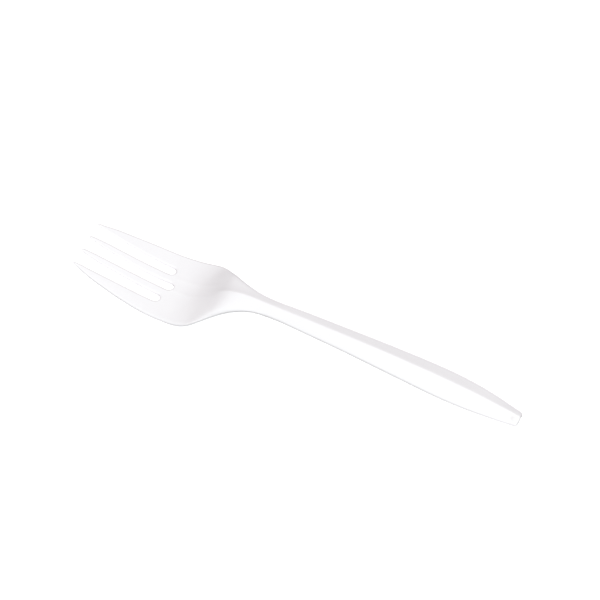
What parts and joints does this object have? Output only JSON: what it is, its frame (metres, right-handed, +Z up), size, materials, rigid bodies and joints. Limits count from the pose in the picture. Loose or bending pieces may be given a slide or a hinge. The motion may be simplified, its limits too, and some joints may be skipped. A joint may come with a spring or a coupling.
{
  "type": "disposable plastic fork",
  "caption": "White moulded plastic fork with pointed tines, a shallow bowl and a roof-section handle, lying hollow side down.",
  "frame": {"origin": "middle of the fork's box, on the surface it lies on", "axes": "+X along the fork from the tines to the end of the handle, +Y across it, +Z up"},
  "size_m": [0.1516, 0.0264, 0.0126],
  "materials": {
    "white_plastic": "semi-gloss"
  },
  "bodies": {
    "root": {"fork": "white_plastic"}
  },
  "joints": []
}
